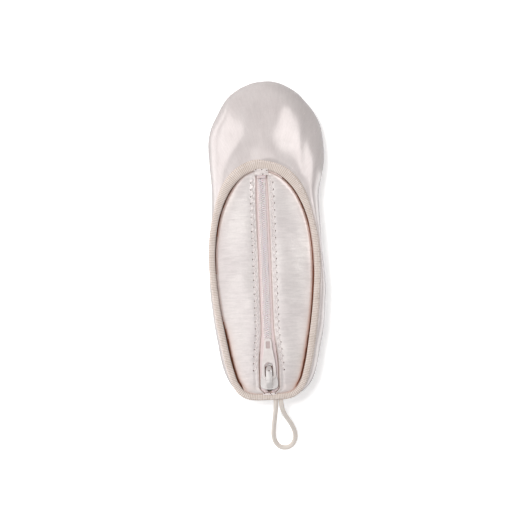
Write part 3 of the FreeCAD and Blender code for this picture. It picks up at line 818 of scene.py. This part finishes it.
class Quarter:
    """The front or the rear part of one side of the closure, cut at the middle of the mouth."""

    def __init__(self, side, front):
        self.side = side
        self.front = front
        self.word = "right" if side > 0 else "left"
        self.name = f"{self.word}_{'front' if front else 'rear'}"

    def holds(self, y):
        return (y > PANEL_MIDDLE_Y) == self.front

    def span(self, heel_y, toe_y):
        """The quarter's own part of a stretch from heel to toe."""
        return (PANEL_MIDDLE_Y, toe_y) if self.front else (heel_y, PANEL_MIDDLE_Y)

    def rows(self, past_heel, past_toe, step):
        low_y, high_y = self.span(THROAT_HEEL_Y + past_heel, THROAT_TOE_Y + past_toe)
        return np.linspace(low_y, high_y, int((high_y - low_y) / step) + 1)

    def finish(self, item, slot, *nodes):
        """Applies the piece's modifiers, hides its nodes and writes its placement into its mesh."""
        apply_modifiers(item)
        corner = np.array([self.side * HINGE_X, PANEL_MIDDLE_Y])
        chord = np.array([0, SLIDER_END_Y if self.front else THROAT_HEEL_Y]) - corner
        inward = np.array([chord[1], -chord[0]]) / norm(chord)
        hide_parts(*nodes)
        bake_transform(item)

    def declare(self, item, cut, ys, *rests_on):
        """Takes a cloth piece with its cut width at each row and what it rests on, and does nothing with
        them.
        """


def lip_x(y):
    """Distance of the folded panel edge from the zip's middle."""
    by_slider = 1 - ease(y, slider_high.y - 2 * MM, slider_high.y + 26 * MM)
    at_toe = ease(y, THROAT_TOE_Y - 26 * MM, THROAT_TOE_Y)
    at_heel = ease(-y, -slider_low.y - 1.2 * MM, -THROAT_HEEL_Y)
    beside = LIP_X + (SLIDER_LIP_X - LIP_X) * by_slider - 0.5 * MM * at_toe
    return beside + (HEEL_LIP_X - beside) * at_heel


def throat_half_at(y):
    """Half the throat's width at y; 0 beyond its ends."""
    return np.interp(y, THROAT_LINE[:, 1], THROAT_LINE[:, 0], left=0, right=0)


def inside_depth(x, y):
    """Distance from the throat's edge, positive inside it; worked out in parts to save memory."""
    flat = np.stack([np.abs(np.ravel(x)), np.ravel(y)], 1)
    depth = []
    for part in np.array_split(flat, len(flat) // 4000 + 1):
        offsets = part[:, None, :] - THROAT_LINE[None]
        near = norm(offsets, axis=2).argmin(1)
        gap = offsets[np.arange(len(part)), near]
        depth.append(norm(gap, axis=1) * np.where((gap * THROAT_OUT[near]).sum(1) > 0, -1, 1))
    return np.concatenate(depth).reshape(np.shape(x))


def stitch_holes(side):
    """Needle holes of one zigzag row, from the toe to the slider."""
    first = THROAT_TOE_Y - 6.5 * MM
    order = np.arange(int((first - slider_high.y + 4 * MM) / STITCH_STEP) + 1)
    y = first - order * STITCH_STEP
    swing = np.where(order % 2, 0.72 * MM, -0.72 * MM)
    return np.stack([side * (lip_x(y) + STITCH_FROM_LIP + swing), y], 1)


def gap_width(y, side):
    """Width of the shaded gap between a panel and the binding."""
    if side > 0:
        width = 0.75 + 0.45 * ease(-y, 55 * MM, 80 * MM) + 0.35 * np.exp(-((y + 8 * MM) / (24 * MM)) ** 2)
    else:
        front = 0.65 * ease(y, -30 * MM, 8 * MM) * (1 - ease(y, 30 * MM, 42 * MM))
        width = 0.1 + 1.2 * ease(-y, 44 * MM, 62 * MM) + front
    return width * MM * (1 - ease(-y, 91 * MM, 97 * MM))


def panel_height(x, y, side):
    """Height of the panel's top face."""
    depth = np.clip(inside_depth(x, y) - gap_width(y, side), -3 * MM, None)
    inside = np.maximum(depth, 0)
    from_lip = np.maximum(np.abs(x) - lip_x(y), 0)
    dome = 1.1 * MM * (1 - np.exp(-inside / (7 * MM))) * (1 - np.exp(-from_lip / (6 * MM)))
    dome -= 1.7 * MM * ease(from_lip, 2 * MM, 27 * MM)
    edge = -4.4 * MM * np.exp(-np.maximum(depth + 0.6 * MM, 0) / (0.62 * MM))
    channel = -0.17 * MM * np.exp(-((from_lip - STITCH_FROM_LIP) / (0.9 * MM)) ** 2)
    roll = -0.55 * MM * np.exp(-from_lip / (0.35 * MM))
    points = np.stack([x, y * 0.8, np.zeros_like(x) + side * 0.05], -1)
    uneven = wave_noise(points, 34 * MM, 21) * 0.7 * MM + wave_noise(points, 12 * MM, 23) * 0.16 * MM
    uneven += wave_noise(points * [0.5, 1.6, 1], 6 * MM, 29, 14) * 0.04 * MM
    quiet = (1 - np.exp(-inside / (3 * MM))) * (1 - np.exp(-from_lip / (2 * MM)))
    pucker = 0.05 * MM * np.sin(y / STITCH_STEP * math.pi) * np.exp(-(from_lip / (3.4 * MM)) ** 2)
    return LIP_Z + dome + edge + channel + roll + uneven * quiet + pucker


def strip(ys, inner, outer, share):
    """Grids of x and y: a row of places from inner to outer at each y."""
    x = inner[:, None] + (outer - inner)[:, None] * share
    return x, np.broadcast_to(ys[:, None], x.shape)


def panel(quarter):
    """The satin's top face, rolled round the lip and folded under."""
    side, word = quarter.side, quarter.word
    ys = quarter.rows(-1.0 * MM, 1.2 * MM, 0.5 * MM)
    inner = lip_x(ys)
    outer = np.maximum(throat_half_at(ys) + TUCK, inner + 0.4 * MM)
    x, y = strip(ys, side * inner, side * outer, np.linspace(0, 1, 64) ** 1.35)
    z = panel_height(x, y, side)
    for hole_x, hole_y in stitch_holes(side):
        close = np.abs(ys - hole_y) < 2 * MM
        away = np.hypot(x[close] - hole_x, y[close] - hole_y)
        z[close] -= 0.24 * MM * np.exp(-(away / (0.42 * MM)) ** 2)
    under = [np.stack([x[:, 0] + side * out * MM, ys, LIP_Z - down * MM + 0 * ys], 1)
             for out, down in UNDER_FOLD]
    grid = np.concatenate([np.stack(under, 1), np.stack([x, y, z], 2)], 1)
    u = travelled(grid.swapaxes(0, 1)).T
    build = Builder()
    build.add(grid, grid_faces(len(ys), grid.shape[1], flip=side < 0),
              np.stack([u * side, np.broadcast_to(ys[:, None], u.shape)], 2))
    gap = gap_width(y, side)
    depth = inside_depth(x, y)
    shaded = (depth < gap + 0.1 * MM) & (gap > 0.2 * MM)
    by_slider = (ys < slider_high.y + 9 * MM)[:, None]
    lip_shade_line = by_slider & (np.abs(x) - inner[:, None] < 0.22 * MM)
    folds = len(UNDER_FOLD)
    # Slot 1 is painted shade in the gap by the binding; slot 2 is painted shade along the lip and under its
    # fold beside the slider.
    slots = np.zeros((len(ys) - 1, grid.shape[1] - 1), int)
    slots[:, folds - 3:folds] = 2 * by_slider[:-1]
    slots[:, folds:] = np.where(shaded, 1, 2 * lip_shade_line)[:-1, 1:]
    build.slots = slots.ravel().tolist()
    # Painted warm shade: peach where the panel drops into the gap by the binding, stronger towards the
    # heel, beside the lip and over the folded-under strip.
    painted_warm_shade = np.exp(-np.maximum(depth - gap, 0) / (1.6 * MM)) * np.minimum(gap / (0.8 * MM), 1)
    painted_warm_shade *= 0.5 + 0.45 * ease(-y, 20 * MM, 70 * MM)
    near_lip = np.exp(-(np.abs(x) - inner[:, None]) / (0.6 * MM)) * 0.35
    warmth = np.pad(np.maximum(painted_warm_shade, near_lip), ((0, 0), (folds, 0)), constant_values=0.4)
    item = build.make(f"panel_{quarter.name}", [PANEL_SATIN, GAP_PAINTED_SHADE, LIP_SHADE], warmth.ravel())
    thicken(item, 0.35 * MM, rim=False)
    quarter.finish(item, "panel_satin", f"panel_{word}", f"topstitch_{word}")
    quarter.declare(item, outer - inner + TURNED_UNDER, ys, "throat_binding", f"zip_tape_{word}")


def zigzag(quarter):
    """The zigzag thread, with a dark disc at each turn painted as the shade of its needle hole."""
    side = quarter.side
    holes = stitch_holes(side)
    holes = np.column_stack([holes, panel_height(holes[:, 0], holes[:, 1], side)])
    share = np.linspace(0.06, 0.94, 7)[:, None]
    arch = (np.sin(share * math.pi) ** 0.6 * 0.4 * MM - 0.14 * MM) * [0, 0, 1]
    build = Builder()
    for start, end in zip(holes, holes[1:]):
        if quarter.holds((start[1] + end[1]) / 2):
            build.add(*tube(start + (end - start) * share + arch, 0.24 * MM, 7))
    for i, (x, y, z) in enumerate(holes):
        if quarter.holds(y):
            outer_turn = i % 2
            radius = 0.42 * MM * (1 if outer_turn else 0.4)
            build.add_painted_pit(x + side * 0.3 * MM * outer_turn, y, z + 0.06 * MM, z - 0.5 * MM, radius,
                          face_down=True)
    item = build.make(f"zigzag_{quarter.name}", [THREAD, SHADE])
    quarter.finish(item, "thread", f"topstitch_{quarter.word}")


def tape(quarter):
    """The woven zip tape under the coil and the panel, with a bead along its edge."""
    ys = quarter.rows(0.6 * MM, -0.8 * MM, 0.8 * MM)
    inner = 0.9 * MM + 0.9 * MM * (1 - ease(ys, slider_low.y + 2 * MM, slider_high.y))
    outer = np.minimum(13 * MM, np.maximum(throat_half_at(ys) - 1 * MM, inner + 1 * MM))
    x, y = strip(ys, inner, outer, np.linspace(0, 1, 26))
    z = TAPE_Z + 0.08 * MM * np.exp(-((x - 4.2 * MM) / (0.5 * MM)) ** 2)
    build = Builder()
    build.add(np.stack([x * quarter.side, y, z], 2), grid_faces(*x.shape, flip=quarter.side < 0))
    # Slot 1, the strip between the coil and the lip, is painted shade.
    corner = x[:-1, :-1]
    build.slots = ((corner > 2.7 * MM) & (corner < 5 * MM)).astype(int).ravel().tolist()
    item = build.make(f"tape_{quarter.name}", [TAPE, CHAIN_SHADE])
    thicken(item, 0.4 * MM, rim=False)
    quarter.finish(item, "zip_tape", f"zip_tape_{quarter.word}")


def panel_lining(quarter):
    """The lining cloth under a panel, seen when the zip is open."""
    side, word = quarter.side, quarter.word
    ys = quarter.rows(0.4 * MM, -0.6 * MM, 1.5 * MM)
    inner = lip_x(ys) + 3.5 * MM
    outer = np.maximum(throat_half_at(ys) + 0.3 * MM, inner + 0.4 * MM)
    x, y = strip(ys, side * inner, side * outer, np.linspace(0, 1, 22))
    ripple = np.abs(wave_noise(np.stack([x, y, 0 * x], -1), 16 * MM, 31))
    z = np.minimum(panel_low.z - 0.85 * MM - 0.35 * MM * ripple, panel_height(x, y, side) - 0.9 * MM)
    build = Builder()
    build.add(np.stack([x, y, z], 2), grid_faces(*x.shape, flip=side < 0))
    item = build.make(f"panel_lining_{quarter.name}", [LINING])
    thicken(item, 0.3 * MM, rim=False)
    quarter.finish(item, "lining", f"panel_lining_{word}")
    quarter.declare(item, outer - inner, ys, f"panel_{word}")


# Zip chain

COIL_PITCH = 1.36 * MM
COIL_WIRE = 0.33 * MM
COIL_HALF = (coil_high.x - coil_low.x) / 2
COIL_HALF_HEIGHT = (coil_high.z - coil_low.z) / 2
COIL_SQUARENESS = 2.6


def parting(y):
    """How far the slider holds each row of the chain away from the middle."""
    return 1.25 * MM * (1 - ease(y, slider_low.y + 2 * MM, slider_low.y + 9 * MM))


def squared(wave):
    """A wave with flattened crests, so that each turn of the coil is a rounded square."""
    return np.sign(wave) * np.abs(wave) ** (2 / COIL_SQUARENESS)


def coil(quarter):
    """One row of the nylon coil: a flattened helix whose heads pass between the other row's."""
    side = quarter.side
    low_y, high_y = quarter.span(slider_low.y + 1.0 * MM, coil_high.y)
    turns = round((high_y - low_y) / COIL_PITCH)
    t = np.arange(turns * 16 + 1) / 16
    y = low_y + t / turns * (high_y - low_y) + (0.5 * COIL_PITCH if side > 0 else 0)
    y = np.minimum(y, high_y)
    across = (COIL_HALF + 0.1 * MM - COIL_WIRE) * squared(np.cos(TURN * t))
    x = side * (COIL_HALF - 0.25 * MM + parting(y) + across)
    rise = (COIL_HALF_HEIGHT - COIL_WIRE) * squared(np.sin(TURN * t))
    build = Builder()
    build.add(*tube(np.stack([x, y, (coil_low.z + coil_high.z) / 2 + rise], 1), COIL_WIRE))
    ys = np.arange(low_y, high_y, 0.6 * MM)
    dip = 0.07 * MM * np.cos(ys / COIL_PITCH * TURN)
    for place in (1.05 * MM, 1.95 * MM):
        line = np.stack([side * (place + parting(ys)), ys, coil_high.z + 0.02 * MM + dip], 1)
        build.add(*tube(line, 0.13 * MM, 5), slot=1)
    item = build.make(f"coil_{quarter.name}", [NYLON, THREAD])
    quarter.finish(item, "zip_coil", f"zip_coil_{quarter.word}")


for side in (-1, 1):
    for front in (True, False):
        for piece in (panel, zigzag, tape, panel_lining, coil):
            piece(Quarter(side, front))


# Slider and pull


def ring_edges(work, outline, z):
    verts = [work.verts.new((x, y, z)) for x, y in outline]
    return [work.edges.new(pair) for pair in zip(verts, verts[1:] + verts[:1])]


def plate(name, outline, low_z, high_z, material, bevel, holes=(), segments=3):
    """A flat part cut from an outline, with rounded edges and a UV map."""
    work = bmesh.new()
    edges = [edge for line in (outline, *holes) for edge in ring_edges(work, line, low_z)]
    bmesh.ops.triangle_fill(work, use_beauty=True, use_dissolve=True, edges=edges)
    made = bmesh.ops.extrude_face_region(work, geom=list(work.faces))
    lifted = [v for v in made["geom"] if isinstance(v, bmesh.types.BMVert)]
    bmesh.ops.translate(work, verts=lifted, vec=(0, 0, high_z - low_z))
    bmesh.ops.recalc_face_normals(work, faces=list(work.faces))
    layer = work.loops.layers.uv.new("weave")
    for face in work.faces:
        face.smooth = True
        for loop in face.loops:
            x, y, z = loop.vert.co / UV_UNIT
            loop[layer].uv = (x + z, y)
    mesh = bpy.data.meshes.new(name)
    work.to_mesh(mesh)
    work.free()
    mesh.materials.append(material)
    item = new_object(name, mesh)
    change = item.modifiers.new("rounding", "BEVEL")
    change.width = bevel
    change.segments = segments
    change.limit_method = "ANGLE"
    change.angle_limit = math.radians(50)
    item.modifiers.new("shading", "WEIGHTED_NORMAL")
    return item


def joined(name, items, material):
    """Joins pieces into one, with their modifiers applied."""
    work = bmesh.new()
    for item in items:
        apply_modifiers(item)
        work.from_mesh(item.data)
    mesh = bpy.data.meshes.new(name)
    work.to_mesh(mesh)
    work.free()
    mesh.materials.append(material)
    for item in items:
        old = item.data
        bpy.data.objects.remove(item)
        bpy.data.meshes.remove(old)
    return new_object(name, mesh)


def smooth_outline(right, samples):
    """A closed smooth outline from its right-hand half."""
    left = [(-x, y) for x, y in reversed(right)]
    return [tuple(point) for point in catmull(right + left, samples)[:-1]]


# Shares of a slider plate's half width and of its length, from the nose to the tail.
SHIELD_SHARES = [
    (0.10, 0), (0.55, 0.02), (0.90, 0.09), (1.00, 0.2), (0.98, 0.38), (0.84, 0.62), (0.77, 0.82),
    (0.66, 0.94), (0.35, 1),
]
# The right rail's outer face, as x in millimetres and share of the length, and the post in millimetres.
RAIL = [(5.0, 0.16), (4.85, 0.4), (4.1, 0.62), (3.75, 0.93)]
POST = [
    (-0.5, 0.9), (0.5, 0.9), (1.0, 2.2), (0.8, 3.6), (0.25, 4.6), (-0.25, 4.6), (-0.8, 3.6), (-1.0, 2.2),
]


def slider():
    """The casting: two plates with wide shoulders, joined by a post, and a rail along each side."""
    nose, top = slider_low.y, slider_high.z
    length = slider_high.y - nose

    def shield(wide):
        return smooth_outline([(x * wide, nose + y * length) for x, y in SHIELD_SHARES], 73)

    lower_wide = slider_high.x - 0.3 * MM
    parts = [
        plate("top_plate", shield(slider_high.x), top - 1.0 * MM, top, METAL, 0.38 * MM),
        plate("bottom_plate", shield(lower_wide), slider_low.z, slider_low.z + 1.0 * MM, METAL, 0.3 * MM),
    ]
    for side in (-1, 1):
        rail = [(side * x * MM, nose + length * along) for x, along in RAIL]
        outline = rail + [(x - side * 0.75 * MM, y) for x, y in reversed(rail)]
        parts.append(plate("rail", outline[::side], top - 3.0 * MM, top - 0.4 * MM, METAL, 0.15 * MM,
                           segments=2))
    post = [(x * MM, nose + y * MM) for x, y in POST]
    parts.append(plate("post", post, slider_low.z + 0.3 * MM, top - 0.3 * MM, METAL, 0.1 * MM, segments=2))
    settle(joined("slider_casting", parts, METAL), "slider", "slider_metal", "slider_body")


# The crown's arched section: shares of its half width and of its height.
CROWN_SECTION = [
    (-1, 0), (-1, 0.6), (-0.86, 0.86), (-0.5, 0.98), (0, 1), (0.5, 0.98), (0.86, 0.86), (1, 0.6), (1, 0),
]


def crown():
    """The bridge over the pull's bar: an arched strap, solid towards the nose, with a small dimple; a dark
    disc in the dimple and a dark plate round its foot are painted shade.
    """
    low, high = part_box("slider_cap")
    rows = 36
    share = np.linspace(0, 1, rows)
    foot_z = low.z - 0.1 * MM
    rise = np.minimum(ease(share, -0.1, 0.3), ease(1 - share, -0.03, 0.2))
    top = foot_z + (high.z - low.z - 0.05 * MM) * rise
    hollow = ease(share, 0.36, 0.4) * ease(1 - share, 0.15, 0.18)
    under = foot_z + (top - low.z - 0.9 * MM) * hollow
    y = low.y + (high.y - low.y) * share
    half = (2.25 - 0.2 * ease(share, 0.25, 0.7)) * MM * (1 - 0.45 * (2 * share - 1) ** 8)
    grid = np.array([np.stack([x * half, y, under + (top - under) * up], 1) for x, up in CROWN_SECTION])
    build = Builder()
    build.add(grid, grid_faces(len(grid), rows, wrap_rows=True))
    for end in (0, rows - 1):
        ring = [i * rows + end for i in range(len(grid))]
        build.faces.append(ring if end else ring[::-1])
        build.slots.append(0)
    # Painted shade: a dark disc in the dimple.
    build.add_painted_pit(0, high.y - 2.6 * MM, high.z - 0.03 * MM, high.z - 0.33 * MM, 0.42 * MM, 12)
    # Painted shade: a thin dark plate on the casting round the crown's foot.
    foot_shade = rounded_rectangle(0, (low.y + high.y) / 2, high.y + 0.1 * MM, 2.5 * MM, 0.6 * MM)
    foot_shade = [(x, y, slider_high.z + 0.03 * MM) for x, y in foot_shade]
    build.add(foot_shade, [list(range(len(foot_shade)))], np.zeros((len(foot_shade), 2)), slot=1)
    settle(build.make("slider_crown", [METAL, SHADE]), "slider", "slider_metal", "slider_cap")


def rounded_rectangle(centre_x, low_y, high_y, half, corner, high_corner=None, steps=7):
    """Outline of a rectangle with round corners, anticlockwise."""
    top = corner if high_corner is None else high_corner
    out = []
    for cx, cy, radius, start in ((half - corner, low_y + corner, corner, -90),
                                  (half - top, high_y - top, top, 0),
                                  (top - half, high_y - top, top, 90),
                                  (corner - half, low_y + corner, corner, 180)):
        for k in range(steps + 1):
            angle = math.radians(start + 90 * k / steps)
            out.append((centre_x + cx + radius * math.cos(angle), cy + radius * math.sin(angle)))
    return out


def pull():
    """The pull: a bar under the crown, an eye round it and a tapered tab with a plain recess, whose floor
    is a darker pink as painted shade.
    """
    heel, free = pull_low.y, pull_high.y
    wide = pull_high.x
    end_half = 2.3 * MM
    outline = smooth_outline([
        (0.35 * wide, heel), (0.74 * wide, heel + 0.25 * MM), (0.96 * wide, heel + 1.4 * MM),
        (wide, heel + 3.4 * MM), (0.995 * wide, heel + 7.6 * MM), (0.93 * wide, heel + 10.6 * MM),
        (end_half + 0.55 * MM, heel + 18.5 * MM), (end_half, free - 1.8 * MM),
        (end_half - 0.5 * MM, free - 0.5 * MM), (end_half - 1.3 * MM, free)], 97)
    eye = rounded_rectangle(0, heel + 1.2 * MM, heel + 10.3 * MM, wide - 1.7 * MM, 0.9 * MM, 2.6 * MM)
    slot = rounded_rectangle(0, free - 6.2 * MM, free - 1.8 * MM, 1.3 * MM, 0.4 * MM)
    tab = plate("pull_tab_enamelled", outline, pull_low.z, pull_high.z, ENAMEL, 0.3 * MM,
                holes=[eye[::-1], slot[::-1]], segments=4)
    recess = rounded_rectangle(0, free - 6.4 * MM, free - 1.6 * MM, 1.5 * MM, 0.4 * MM)
    recess = plate("pull_recess", recess, pull_low.z + 0.1 * MM, pull_low.z + 0.65 * MM, RECESS_PAINTED_SHADE,
                   0.05 * MM, segments=1)
    for item in (tab, recess):
        apply_modifiers(item)
        settle(item, "pull", "pull_enamel", "pull_tab")


slider()
crown()
pull()


# Small trim


def tack(name, node, rows):
    """A bar tack: close stitches across the zip's end, with a few dark discs painted as the shade of needle
    holes.
    """
    low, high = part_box(node)
    size = high - low
    arch = np.sin(np.linspace(0, math.pi, 9)) ** 0.5 * 0.7 * MM
    build = Builder()
    for k in range(rows):
        jitter = rng.uniform(-0.25, 0.25, 2) * MM
        x = np.linspace(low.x - 0.2 * MM + jitter[0], high.x + 0.2 * MM + jitter[1], 9)
        z = high.z - 0.1 * MM + arch + rng.uniform(-0.12, 0.12) * MM
        y = low.y + size.y * (k + 0.5) / rows + rng.uniform(-0.12, 0.12, 9) * MM
        build.add(*tube(np.stack([x, y, z], 1), 0.22 * MM))
    for x_share, y_share in ((0.08, 0.9), (0.55, 0.86), (0.62, 0.12), (0.94, 0.7)):
        build.add_painted_pit(low.x + size.x * x_share, low.y + size.y * y_share, high.z + 0.86 * MM, high.z,
                      0.4 * MM, squash=0.85)
    settle(build.make(name, [THREAD, SHADE]), "pouch", "thread", node)


def stop(name, node, quarter=None):
    """A small moulded stop with rounded edges."""
    low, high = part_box(node)
    middle = (low.x + high.x) / 2
    outline = rounded_rectangle(middle, low.y, high.y, (high.x - low.x) / 2, 0.35 * MM, steps=4)
    item = plate(name, outline, low.z, high.z, STOP, 0.3 * MM)
    if quarter:
        quarter.finish(item, "zip_stop", node)
    else:
        apply_modifiers(item)
        settle(item, "pouch", "zip_stop", node)


def heel_seam():
    """Small stitches down the heel seam."""
    low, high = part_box("heel_seam_stitches")
    x = lean(HEEL_Y)
    count = 11
    build = Builder()
    for k in range(count):
        z = low.z + (high.z - low.z) * (k + 0.5) / count
        ends = [[x - 0.5 * MM, low.y + 0.35 * MM, z - 0.9 * MM], [x, low.y - 0.25 * MM, z],
                [x + 0.5 * MM, low.y + 0.35 * MM, z + 0.9 * MM]]
        build.add(*tube(ends, 0.2 * MM))
    settle(build.make("heel_seam_thread", [THREAD]), "pouch", "thread", "heel_seam_stitches")


tack("toe_tack_thread", "zip_tack_toe", 11)
tack("heel_tack_thread", "zip_tack_heel", 4)
stop("toe_stop", "bottom_stop")
stop("heel_stop_left", "top_stop_left", Quarter(-1, False))
stop("heel_stop_right", "top_stop_right", Quarter(1, False))
heel_seam()

frame["nodes"]["lock_spring"].data.materials.clear()
frame["nodes"]["lock_spring"].data.materials.append(STEEL)


# Floor and light

# Name, place, target, width, height, power, and whether the light is seen in reflections only.
LIGHTS = [
    ("overhead", (-0.2, 0.17, 1.9), (0, 0, 0), 0.2, 0.2, 14.5, False),
    ("window_left", (-1.25, 0.5, 0.75), (0, 0, 0), 1.1, 1.3, 10, False),
    ("card_left", (-1.2, 0.45, 0.75), (0, 0, 0), 1.9, 1.5, 8.5, True),
    ("card_right", (0.9, 0.72, 1.3), (0, 0, 0), 1.5, 1.25, 12, True),
    ("card_above", (-0.45, -0.15, 1.8), (0, 0, 0), 0.5, 0.9, 1.8, True),
    ("table_left", (-0.36, -0.01, 0.002), (-0.36, -0.01, 1), 0.6, 0.3, 0.6, True),
    ("table_right", (0.35, -0.09, 0.002), (0.35, -0.09, 1), 0.6, 0.26, 0.5, True),
]


def area_light(name, place, target, width, height, power, reflected):
    data = bpy.data.lights.new(name, "AREA")
    data.shape = "RECTANGLE"
    data.size = width
    data.size_y = height
    data.energy = power
    item = new_object(name, data)
    item.location = place
    item.rotation_euler = (Vector(place) - Vector(target)).to_track_quat("Z", "Y").to_euler()
    item.visible_glossy = reflected
    if reflected:
        item.visible_diffuse = False
        item.visible_camera = False


def floor():
    surface = Surface("floor", 0.9, Specular_IOR_Level=0.1, Base_Color=(0.98, 0.98, 0.98, 1),
                      Emission_Color=(1, 1, 1, 1), Emission_Strength=0.36)
    bpy.ops.mesh.primitive_plane_add(size=6)
    item = bpy.context.active_object
    item.name = "floor"
    item.visible_glossy = False
    item.data.materials.append(surface.material)


floor()
for light in LIGHTS:
    area_light(*light)
world = bpy.data.worlds.new("studio")
world.use_nodes = True
background = world.node_tree.nodes["Background"].inputs
background["Color"].default_value = (1, 1, 1, 1)
background["Strength"].default_value = 0.43
bpy.context.scene.world = world
bpy.context.scene.view_settings.view_transform = "Standard"
